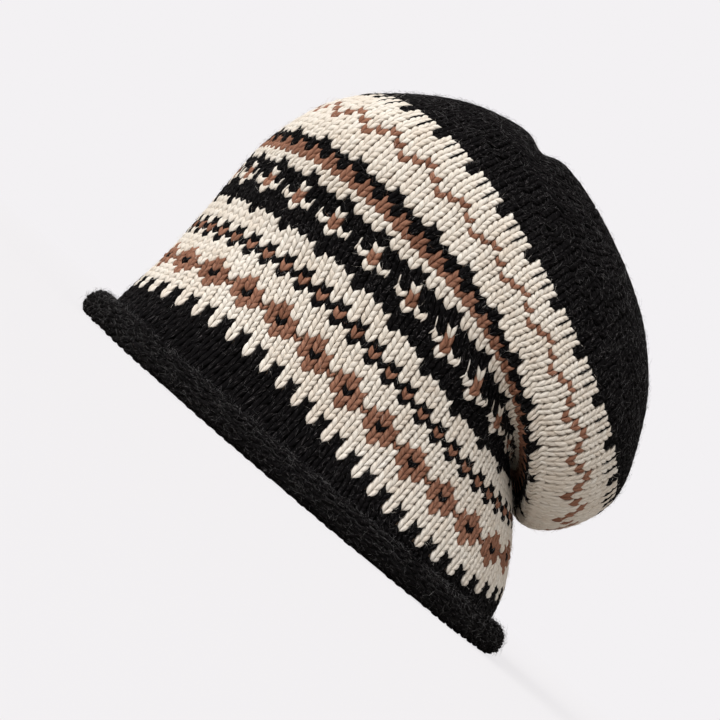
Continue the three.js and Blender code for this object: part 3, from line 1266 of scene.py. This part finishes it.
@dataclass
class LooseFibres:
    """Fine single hairs that stand off the yarn all over the hat."""

    fabric: KnittedSurface
    roll: RollSurface
    body_count: int = 10500
    crown_count: int = 6500
    brim_count: int = 3600
    first_body_row: float = 0.5
    first_roll_row: float = 1.5
    last_roll_gap: float = 0.5  # rows of the roll without hairs at the wall
    shortest: float = 1.6
    longest: float = 5.2
    radius: float = 0.032
    root_height: float = 0.25
    least_stand: float = 0.1  # 0 lies flat on the yarn, and more stands up
    most_stand: float = 0.75
    bend_spread: float = 0.35
    droop: float = 0.45  # how much of its rise a hair loses towards its tip

    def build(self, fibres: dict[Yarn, bpy.types.Material]) -> None:
        """Builds one piece of fibres for each yarn."""
        draw = np.random.default_rng(SEED + 3)
        rows = draw.uniform(self.first_body_row, CROWN_ROW, self.body_count)
        columns = draw.uniform(0, STITCHES, self.body_count)
        yarns = np.array([chart_yarn(int(row), int(column)).value for row, column in zip(rows, columns)])
        crown_shares = 1 - np.sqrt(draw.uniform(0, 1, self.crown_count))
        crown_rows = CROWN_ROW + (POLE_ROW - 1 - CROWN_ROW) * crown_shares
        crown_columns = draw.uniform(0, STITCHES, self.crown_count)
        last_roll_row = self.roll.rows - self.last_roll_gap
        roll_rows = draw.uniform(self.first_roll_row, last_roll_row, self.brim_count)
        roll_columns = draw.uniform(0, STITCHES, self.brim_count)
        places = {}
        for yarn in Yarn:
            dyed = yarns == yarn.value
            places[yarn] = [self.fabric.at(rows[dyed], columns[dyed])]
        places[Yarn.BLACK].append(self.fabric.at(crown_rows, crown_columns))
        places[Yarn.BLACK].append(self.roll.at(roll_rows, roll_columns))
        shape = Lozenge(sides=3, rings=2)
        for yarn, found in places.items():
            roots, normals = (np.concatenate(parts) for parts in zip(*found))
            points = self._hairs(shape, roots, normals, draw)
            piece = join_copies(f"{yarn.name.lower()}_fibres", shape, points, draw.uniform(0, 1, len(roots)))
            dress(piece, fibres[yarn])

    def _hairs(
        self, shape: Lozenge, roots: np.ndarray, normals: np.ndarray, draw: np.random.Generator
    ) -> np.ndarray:
        """Corners of bent hairs in millimetres, from their roots and the fabric's normals there."""
        count = len(roots)
        sideways = np.cross(normals, draw.normal(0, 1, (count, 3)))
        sideways = sideways / np.linalg.norm(sideways, axis=1, keepdims=True)
        curl = np.cross(normals, sideways)
        length = draw.uniform(self.shortest, self.longest, (count, 1))
        stand = draw.uniform(self.least_stand, self.most_stand, (count, 1))
        bend = draw.normal(0, self.bend_spread, (count, 1))
        level = shape.level[None, :, None]
        along = (sideways * (1 - stand * 0.5) + normals * stand) * length
        line = roots[:, None] + normals[:, None] * self.root_height + along[:, None] * level
        droop = curl * bend * length - normals * stand * length * self.droop
        line = line + droop[:, None] * level**2
        swell = self.radius * np.minimum(1, 4 * level * (1 - level))
        turn = shape.angle[None, :, None]
        points = line + (curl[:, None] * np.cos(turn) + normals[:, None] * np.sin(turn)) * swell
        points[..., 2] = np.maximum(points[..., 2], FLOOR_GAP)
        return points


@dataclass(frozen=True)
class Studio:
    """A pale seamless floor, soft light and the camera at the photograph's angle."""

    target: Colour
    image_size: int = 720
    target_pixel: tuple[float, float] = (408.4, 313.2)
    millimetres_per_pixel: float = 0.41
    distance: float = 780.0
    elevation: float = -4.3
    roll: float = 40.4
    sensor: float = 36.0
    backdrop: Colour = (0.896, 0.879, 0.896)
    floor_tone: Colour = (0.80, 0.79, 0.80)
    bounce_tone: Colour = (0.46, 0.43, 0.40)
    floor_radius: float = 3.0
    fade_from: float = 0.35
    fade_to: float = 0.95
    near_glow: float = 0.85
    world_light: float = 0.41
    world_tint: Colour = (1.0, 0.95, 0.90)
    key_towards: Colour = (-0.62, -0.50, 0.60)
    key_strength: float = 3.25
    key_width: float = 55.0  # in degrees, as is the other sun's
    key_colour: Colour = (1.0, 0.99, 0.975)
    fill_strength: float = 0.28
    fill_width: float = 60.0
    fill_colour: Colour = (0.97, 0.98, 1.0)

    def build(self) -> None:
        """Builds the camera, the lights and the floor."""
        self._camera()
        self._world()
        self._floor()
        up = math.radians(self.roll)
        fill_towards = (math.cos(up), -0.9, 0.55)
        self._sun("key", self.key_towards, self.key_strength, self.key_width, self.key_colour)
        self._sun("fill", fill_towards, self.fill_strength, self.fill_width, self.fill_colour)

    def _camera(self) -> None:
        """The camera, turned about its own axis as the hat leans in the photograph."""
        roll = math.radians(self.roll)
        tilt = math.radians(self.elevation)
        back = Vector((0, -math.cos(tilt), math.sin(tilt)))
        level_up = Vector((0, math.sin(tilt), math.cos(tilt)))
        right = Vector((1, 0, 0)) * math.cos(roll) + level_up * math.sin(roll)
        up = back.cross(right)
        centre = self.image_size / 2
        aside = (centre - self.target_pixel[0]) * self.millimetres_per_pixel
        above = (self.target_pixel[1] - centre) * self.millimetres_per_pixel
        target = Vector(self.target)
        aim = target + right * aside + up * above
        place = target + back * self.distance
        back = (place - aim).normalized()
        right = (right - back * right.dot(back)).normalized()
        up = back.cross(right)
        data = bpy.data.cameras.new("camera")
        data.sensor_width = self.sensor
        data.lens = self.sensor * self.distance / (self.image_size * self.millimetres_per_pixel)
        data.clip_start = 0.01
        camera = link_object("camera", data)
        turned = Matrix((right, up, back)).transposed().to_4x4()
        camera.matrix_world = Matrix.Translation(place * MM) @ turned
        bpy.context.scene.camera = camera

    def _world(self) -> None:
        """The backdrop's colour to the camera, and a softer light to everything else."""
        world = bpy.data.worlds.new("studio")
        bpy.context.scene.world = world
        nodes = NodeMaker(world)
        backdrop = nodes.toned("ShaderNodeBackground", self.backdrop, 1.0)
        light = nodes.toned("ShaderNodeBackground", self.world_tint, self.world_light)
        nodes.surface(nodes.blend(nodes.seen(), light, backdrop))

    def _sun(self, name: str, towards: Colour, strength: float, width: float, colour: Colour) -> None:
        """A soft light from far away, with the direction towards it and its width in degrees."""
        data = bpy.data.lights.new(name, "SUN")
        data.energy = strength
        data.angle = math.radians(width)
        data.color = colour
        lamp = link_object(name, data)
        lamp.rotation_euler = Vector(towards).to_track_quat("Z", "Y").to_euler()

    def _floor(self) -> None:
        """A disc that fades into the backdrop's colour, so that no horizon shows."""
        disc = bmesh.new()
        bmesh.ops.create_circle(disc, cap_ends=True, segments=96, radius=self.floor_radius)
        mesh = bpy.data.meshes.new("floor")
        disc.to_mesh(mesh)
        disc.free()
        floor = link_object("floor", mesh)
        material = bpy.data.materials.new("seamless floor")
        nodes = NodeMaker(material)
        place = nodes.object_place()
        reach = nodes.make("ShaderNodeVectorMath", {"operation": "LENGTH"}, {0: place}, out="Value")
        paper = nodes.toned("ShaderNodeBsdfDiffuse", self.floor_tone)
        glow = nodes.toned("ShaderNodeEmission", self.backdrop, 1.0)
        far = self.near_glow + reach.between(self.fade_from, self.fade_to) * (1 - self.near_glow)
        bounce = nodes.toned("ShaderNodeBsdfDiffuse", self.bounce_tone)
        nodes.surface(nodes.blend(nodes.seen(), bounce, nodes.blend(far, paper, glow)))
        mesh.materials.append(material)


def corners(box: tuple[Vector, Vector]) -> list[list[float]]:
    """A box as plain lists."""
    return [list(corner) for corner in box]


def main() -> None:
    """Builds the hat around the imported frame, and the studio around the hat."""
    logging.basicConfig(level=logging.INFO, format="%(name)s %(message)s")
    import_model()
    scene = bpy.context.scene
    scene.view_settings.view_transform = "Standard"
    low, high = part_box("rolled_brim")
    shift = (low.x + high.x) / 2 / MM - (SECTIONS[0].front_x + SECTIONS[0].back_x) / 2
    fabric = KnittedSurface(shift_x=shift)
    roll = RollSurface(fabric)
    legs = StitchLegs(fabric)
    wools = {yarn: finish.material() for yarn, finish in WOOLS.items()}
    fibres = {yarn: finish.material() for yarn, finish in FIBRES.items()}
    inside = InsideFinish("wrong side").material()
    PatternedBody(legs).build(wools, inside)
    Crown(legs).build(wools[Yarn.BLACK], inside)
    RolledBrim(roll).build(wools[Yarn.BLACK], inside)
    LooseFibres(fabric, roll).build(fibres)
    Studio(target=(shift, 0.0, 85.0)).build()


if __name__ == "__main__":
    main()
